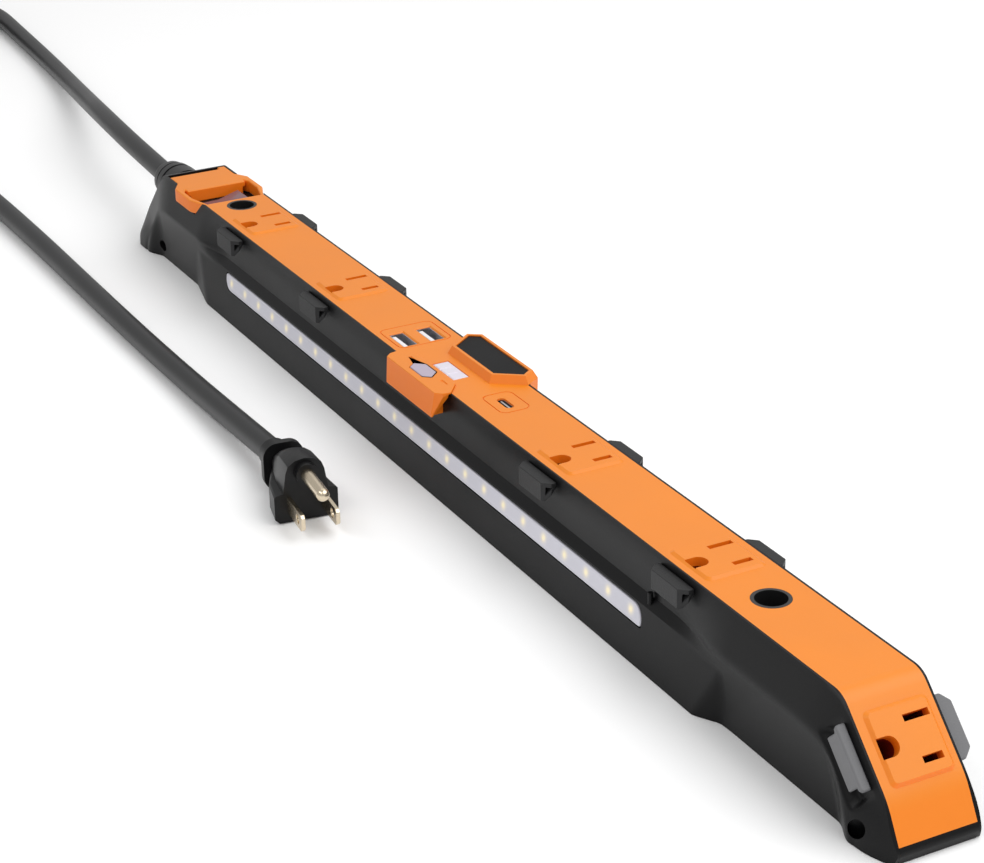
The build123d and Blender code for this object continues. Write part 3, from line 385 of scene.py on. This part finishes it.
def mesh_object(name, points, faces):
    """An object from points in millimetres, with coincident points merged."""
    mesh = bpy.data.meshes.new(name)
    mesh.from_pydata([tuple(c * MM for c in p) for p in points], [], faces)
    tidy = bmesh.new()
    tidy.from_mesh(mesh)
    bmesh.ops.remove_doubles(tidy, verts=tidy.verts, dist=MERGE_MM * MM)
    bmesh.ops.recalc_face_normals(tidy, faces=tidy.faces)
    tidy.to_mesh(mesh)
    tidy.free()
    made = bpy.data.objects.new(name, mesh)
    bpy.context.scene.collection.objects.link(made)
    return made


def ring_faces(rings, size):
    """Quads between closed rings of points, with a face over each end."""
    faces = [tuple(range(size)), tuple(range((rings - 1) * size, rings * size))]
    for r in range(rings - 1):
        for i in range(size):
            j = (i + 1) % size
            faces.append((r * size + i, r * size + j, (r + 1) * size + j, (r + 1) * size + i))
    return faces


SEAT_DEPTH, END_SEAT_DEPTH, END_SEAT_X = 2.6, 3.7, 255   # the panel's seat, deeper on the sloping ends


def side_wall(front):
    """One long wall of the shell: its outer face from side_y, its rim, the panel's seat, its inner face."""
    side = -1 if front else 1
    points = []
    for x in STATIONS:
        top = float(np.interp(abs(x), UPPER_PATH[:, 0], UPPER_PATH[:, 1]))
        low = float(np.interp(abs(x), LOWER_PATH[:, 0], LOWER_PATH[:, 1]))
        z = low + (top - low) * SIDE_ROWS / BODY_H
        y = side_y(np.full_like(z, x), z, front)
        seat = top - (SEAT_DEPTH if abs(x) < END_SEAT_X else END_SEAT_DEPTH)
        seat = max(seat, low + 0.1)
        points += [(x, side * b, a) for a, b in zip(z, y)]
        inside = [(SEAT_Y, top), (SEAT_Y, seat), (INNER_Y, seat), (INNER_Y, low)]
        points += [(x, side * b, a) for b, a in inside]
    name = "front_wall" if front else "back_wall"
    return mesh_object(name, points, ring_faces(len(STATIONS), len(SIDE_ROWS) + 4))


END_PLATE_T = 2.4


def end_plate(name, path, side):
    """A curved plate across the body, following one end of its side outline."""
    outer, inner = [], []
    for i, place in enumerate(path):
        ahead = path[min(i + 1, len(path) - 1)] - path[max(i - 1, 0)]
        inward = Vector((ahead.y, -ahead.x)).normalized()
        outer.append(place)
        inner.append(place + inward * END_PLATE_T)
    loop = outer + inner[::-1]
    points = [(side * p.x, y, max(p.y, 0)) for y in (-SEAT_Y, SEAT_Y) for p in loop]
    return mesh_object(name, points, ring_faces(2, len(loop)))


def prism(name, outline, low, high, frame_matrix=None):
    """A straight block with the given outline, between two heights along the third axis."""
    points = [(a, b, c) for c in (low, high) for a, b in outline]
    block = mesh_object(name, points, ring_faces(2, len(outline)))
    if frame_matrix is not None:
        block.data.transform(frame_matrix)
    return block


def joined(name, parts):
    """One object from the meshes of several, which are removed."""
    mesh = bpy.data.meshes.new(name)
    merged = bmesh.new()
    for part in parts:
        merged.from_mesh(part.data)
    merged.to_mesh(mesh)
    merged.free()
    made = bpy.data.objects.new(name, mesh)
    bpy.context.scene.collection.objects.link(made)
    for part in parts:
        bpy.data.objects.remove(part)
    return made


def cut(target, cutters):
    """Takes the cutters out of the target, and removes them."""
    tool = joined("cutters", cutters)
    step = target.modifiers.new("cut", "BOOLEAN")
    step.operation = "DIFFERENCE"
    step.solver = "EXACT"
    step.use_self = True
    step.object = tool
    bpy.context.view_layer.update()
    result = bpy.data.meshes.new_from_object(target.evaluated_get(bpy.context.evaluated_depsgraph_get()))
    target.modifiers.clear()
    target.data = result
    bpy.data.objects.remove(tool)


def smooth(made, angle=32):
    made.data.shade_smooth()
    made.data.set_sharp_from_angle(angle=math.radians(angle))


def axes(origin, x_axis, z_axis):
    """Placing matrix for a block drawn in millimetres, from its origin and two axes."""
    z_axis = Vector(z_axis).normalized()
    x_axis = Vector(x_axis).normalized()
    y_axis = z_axis.cross(x_axis)
    place = Vector(origin) * MM
    return Matrix((
        (x_axis.x, y_axis.x, z_axis.x, place.x),
        (x_axis.y, y_axis.y, z_axis.y, place.y),
        (x_axis.z, y_axis.z, z_axis.z, place.z),
        (0, 0, 0, 1),
    ))


LENS_X = (-181.0, 158.3)
LENS_Z = 16.5
LENS_H = 6.9
LENS_CORNER, LENS_TIGHT_CORNER = 5.6, 1.0
LENS_GAP = 0.3                 # how much wider the window is than the drawn lens, all round
LENS_INSET, LENS_T, LENS_PROUD, LENS_ROUND = 0.15, 1.9, 0.25, 0.4
LAMP_LEAN = math.atan2(LAMP_TOE_Y - LIP_Y, LIP_Z)
LENS_FRAME = axes(
    ((LENS_X[0] + LENS_X[1]) / 2, -(LIP_Y + (LIP_Z - LENS_Z) * math.tan(LAMP_LEAN)), LENS_Z),
    (1, 0, 0), (0, -math.cos(LAMP_LEAN), math.sin(LAMP_LEAN)),
)


def lens_outline(grow):
    """The lens: large radii at its lower left and upper right corners."""
    half_x = (LENS_X[1] - LENS_X[0]) / 2 + grow
    half_y = LENS_H / 2 + grow
    corners = (
        (-half_x, -half_y, LENS_CORNER), (half_x, -half_y, LENS_TIGHT_CORNER),
        (half_x, half_y, LENS_CORNER), (-half_x, half_y, LENS_TIGHT_CORNER),
    )
    outline = []
    for i, (x, y, radius) in enumerate(corners):
        centre = (x - math.copysign(radius, x), y - math.copysign(radius, y))
        start = math.pi + i * math.pi / 2
        for k in range(9):
            angle = start + k * math.pi / 16
            outline.append((centre[0] + radius * math.cos(angle), centre[1] + radius * math.sin(angle)))
    return outline


def circle(radius, count=40):
    angles = [2 * math.pi * i / count for i in range(count)]
    return [(radius * math.cos(a), radius * math.sin(a)) for a in angles]


GUARD_FLOOR, NOTCH_FLOOR = 34.1, 35
CUT_TOP, CUT_OUT = 45, 4       # cutters run clear of the top, and of the lamp face
WINDOW_DEPTH = 1.2
NOTCH = [(-18, -16.2), (16, -16.2), (16, -12), (-18, -12)]   # under the light switch module
HANG_LEFT = axes((-261.5, -15, 5.6), (1, 0, 0), (0, -1, 0))
HANG_RIGHT = axes((279.3, -22.8, 9), (0, 0, 1), (0.62, -0.62, 0.48))
HANG_LEFT_R, HANG_RIGHT_R = 2.6, 3.2
PLATE_X = 255.7                # where the bare black plate over the cord end starts
TOE_PLATE_Z = 5.4              # top of the plate under the sloping end of the panel
PEG = axes((160.4, -16.0, 24.2), (1, 0, 0), (0, 0, 1))
PEG_R = 0.9
STRAP = [(-244.0, 13.5), (-237.5, 17.5), (-221.0, 17.5), (-211.0, 13.5), (-211.0, 12.0), (-244.0, 12.0)]


def make_shell():
    front, back = side_wall(True), side_wall(False)
    cutters = {}
    for side in (-1, 1):
        strap = [(x, side * y) for x, y in STRAP]
        cutters[side] = [prism("strap", strap, GUARD_FLOOR, CUT_TOP)]
    cutters[-1] += [
        prism("window", lens_outline(LENS_GAP), -WINDOW_DEPTH, CUT_OUT, LENS_FRAME),
        prism("notch", NOTCH, NOTCH_FLOOR, CUT_TOP),
        prism("hole_left", circle(HANG_LEFT_R), -6, 8, HANG_LEFT),
        prism("hole_right", circle(HANG_RIGHT_R), -12, 6, HANG_RIGHT),
    ]
    cut(front, cutters[-1])
    cut(back, cutters[1])
    left = [p for p in END_PATH if p.x > PLATE_X + 0.1]
    left_plate = end_plate("left_plate", [Vector((PLATE_X, BODY_H))] + left, -1)
    toe_top = Vector((float(np.interp(-TOE_PLATE_Z, -UPPER_PATH[:, 1], UPPER_PATH[:, 0])), TOE_PLATE_Z))
    toe_plate = end_plate("toe_plate", [toe_top] + [p for p in END_PATH if p.y < TOE_PLATE_Z - 0.2], 1)
    peg = prism("peg", circle(PEG_R, 20), -2, 2, PEG)
    shell = joined("soft_shell", [front, back, left_plate, toe_plate, peg])
    smooth(shell, 28)
    shell.data.materials.append(M["black"])
    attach(shell, "strip")
    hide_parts("body_shell")
    return shell


PLATE_RISE = 0.5               # the outlet plates stand this far proud of the panel
MORE_RISE, MORE_END_RISE = 0.25, 0.55
NEAR_PLATE = 0.06              # how near to the plate's face a point counts as on it


def lift_plates(mesh):
    """Gives the outlet plates a clearer bevel, above all the one on the sloping end."""
    normal = Vector((SIN, 0, COS))
    bend = Vector((TOP_HALF, 0, BODY_H)) * MM
    for vertex in mesh.vertices:
        proud = (vertex.co - bend).dot(normal) / MM
        if vertex.co.x > (TOP_HALF + 3) * MM and abs(proud - PLATE_RISE) < NEAR_PLATE:
            vertex.co += normal * MORE_END_RISE * MM
        elif vertex.co.x < (TOP_HALF - 9) * MM and abs(vertex.co.z / MM - BODY_H - PLATE_RISE) < NEAR_PLATE:
            vertex.co.z += MORE_RISE * MM


MERGE_M = 0.00001
FLAT_ANGLE = 1.5               # faces within this angle of each other, in degrees, become one
ROUNDED_ANGLE = 25             # edges sharper than this, in degrees, are rounded
SMOOTH_ANGLE = 40


def softened(name, body, width, look):
    """A copy of a node with its edges rounded by the given width in millimetres."""
    source = nodes[name]
    mesh = source.data.copy()
    mesh.materials.clear()
    mesh.materials.append(M[look])
    tidy = bmesh.new()
    tidy.from_mesh(mesh)
    bmesh.ops.remove_doubles(tidy, verts=tidy.verts, dist=MERGE_M)
    bmesh.ops.dissolve_limit(tidy, angle_limit=math.radians(FLAT_ANGLE), verts=tidy.verts, edges=tidy.edges)
    tidy.to_mesh(mesh)
    tidy.free()
    if name == "face_panel":
        lift_plates(mesh)
    made = bpy.data.objects.new(name + "_soft", mesh)
    made.matrix_world = source.matrix_world.copy()
    bpy.context.scene.collection.objects.link(made)
    step = made.modifiers.new("round", "BEVEL")
    step.width = width * MM
    step.segments = 2
    step.limit_method = "ANGLE"
    step.angle_limit = math.radians(ROUNDED_ANGLE)
    step.miter_outer = "MITER_ARC"
    step.use_clamp_overlap = True
    smooth(made, SMOOTH_ANGLE)
    weigh = made.modifiers.new("weigh", "WEIGHTED_NORMAL")
    weigh.keep_sharp = True
    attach(made, body)
    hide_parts(name)
    return made


GLOW_R = 1.5
GLOW_TINT, GLOW_LIGHT = 0.75, 0.25


def add_led_glow(material, first_x, step, lens_z):
    """A warm glow in the frosted lens over each LED of an evenly spaced row. Lengths are in millimetres."""
    tree = material.node_tree
    shader = tree.nodes["Principled BSDF"]
    plain = shader.inputs["Base Color"].links[0].from_socket
    where = tree.nodes.new("ShaderNodeTexCoord")
    split = tree.nodes.new("ShaderNodeSeparateXYZ")
    tree.links.new(where.outputs["Object"], split.inputs["Vector"])

    def worked_out(operation, a, b=None):
        node = tree.nodes.new("ShaderNodeMath")
        node.operation = operation
        for socket, value in zip(node.inputs, (a, b)):
            if isinstance(value, bpy.types.NodeSocket):
                tree.links.new(value, socket)
            elif value is not None:
                socket.default_value = value
        return node.outputs["Value"]

    along = worked_out("SUBTRACT", split.outputs["X"], (first_x - step / 2) * MM)
    along = worked_out("SUBTRACT", worked_out("MODULO", along, step * MM), step / 2 * MM)
    across = worked_out("SUBTRACT", split.outputs["Z"], lens_z * MM)
    squares = worked_out(
        "ADD", worked_out("MULTIPLY", along, along), worked_out("MULTIPLY", across, across),
    )
    glow = worked_out("EXPONENT", worked_out("MULTIPLY", squares, -1 / (GLOW_R * MM) ** 2))
    tint = tree.nodes.new("ShaderNodeMix")
    tint.data_type = "RGBA"
    tree.links.new(worked_out("MULTIPLY", glow, GLOW_TINT), tint.inputs["Factor"])
    tree.links.new(plain, tint.inputs["A"])
    tint.inputs["B"].default_value = (*srgb(250, 232, 176), 1)
    tree.links.new(tint.outputs["Result"], shader.inputs["Base Color"])
    tree.links.new(tint.outputs["Result"], shader.inputs["Emission Color"])
    tree.links.new(worked_out("MULTIPLY", glow, GLOW_LIGHT), shader.inputs["Emission Strength"])


LED_STEP, LED_COUNT = 14.2, 24


def make_lens():
    first = (LENS_X[0] + LENS_X[1] - LED_STEP * (LED_COUNT - 1)) / 2
    add_led_glow(M["lens"], first, LED_STEP, LENS_Z + 0.4)
    lens = prism("soft_lens", lens_outline(-LENS_INSET), -LENS_T, LENS_PROUD, LENS_FRAME)
    step = lens.modifiers.new("round", "BEVEL")
    step.width = LENS_ROUND * MM
    step.segments = 3
    step.limit_method = "ANGLE"
    step.angle_limit = math.radians(SMOOTH_ANGLE)
    smooth(lens, SMOOTH_ANGLE)
    lens.data.materials.append(M["lens"])
    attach(lens, "strip")
    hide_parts("led_lens")


make_shell()
make_lens()
SOFT = {
    "face_panel": (0.25, "orange", "orange_plastic"), "switch_guard": (0.5, "orange", "orange_plastic"),
    "light_switch_housing": (0.4, "orange", "orange_plastic"),
    "badge_frame": (0.35, "orange", "orange_plastic"),
    "badge_plate": (0.12, "badge", "badge_black"), "indicator_window": (0.15, "window", "window_plastic"),
    "cord_cleats_front": (0.4, "cleat", "cleat_plastic"), "cord_cleats_back": (0.4, "cleat", "cleat_plastic"),
    # the end cleats take the lighter copy of the cleat plastic, a painted highlight
    "cord_cleats_end": (0.5, "cleat_painted_highlight", "cleat_plastic"), "strain_relief": (0.25, "cord", "cord_rubber"),
    "plug_body": (0.6, "plug", "cord_rubber"), "plug_blades": (0.2, "plug_metal", "plug_metal"),
}
for name, (width, look, slot) in SOFT.items():
    softened(name, "strip", width, look)
softened("power_rocker", "rocker", 0.3, "tinted")
softened("light_button", "button", 0.25, "button")


# ---------------------------------------------------------------- floor and light
FLOOR_HALF = 6
FLOOR_GAP = 0.0002             # keeps the floor from sharing a plane with the feet
FLOOR_GREY = 0.97
WORLD_STRENGTH = 0.58


def make_stage():
    floor_mesh = bpy.data.meshes.new("floor")
    corners = [(x * FLOOR_HALF, y * FLOOR_HALF, 0) for x, y in ((-1, -1), (1, -1), (1, 1), (-1, 1))]
    floor_mesh.from_pydata(corners, [], [(0, 1, 2, 3)])
    floor = bpy.data.objects.new("floor", floor_mesh)
    floor.location.z = -FLOOR_GAP
    bpy.context.scene.collection.objects.link(floor)
    floor_mesh.materials.append(new_material("pale_floor", (FLOOR_GREY, FLOOR_GREY, FLOOR_GREY), 0.9))
    world = bpy.data.worlds.new("studio")
    world.use_nodes = True
    world.node_tree.nodes["Background"].inputs["Color"].default_value = (1, 1, 1, 1)
    world.node_tree.nodes["Background"].inputs["Strength"].default_value = WORLD_STRENGTH
    bpy.context.scene.world = world


def area_light(name, place, target, size, power):
    """A rectangular light of the given size in metres and power in watts, aimed at the target."""
    data = bpy.data.lights.new(name, "AREA")
    data.shape = "RECTANGLE"
    data.size, data.size_y = size
    data.energy = power
    light = bpy.data.objects.new(name, data)
    light.location = place
    light.rotation_euler = (Vector(target) - Vector(place)).to_track_quat("-Z", "Y").to_euler()
    bpy.context.scene.collection.objects.link(light)


make_stage()
area_light("key", (0.62, 0.55, 1.15), (0.12, 0, 0), (1.5, 1.1), 13)
area_light("left", (-0.75, 0.5, 1.1), (-0.15, 0, 0), (1.0, 1.0), 2)
area_light("front", (0.1, -1.0, 1.25), (0, 0, 0), (1.8, 0.4), 6)
bpy.context.scene.view_settings.view_transform = "Standard"
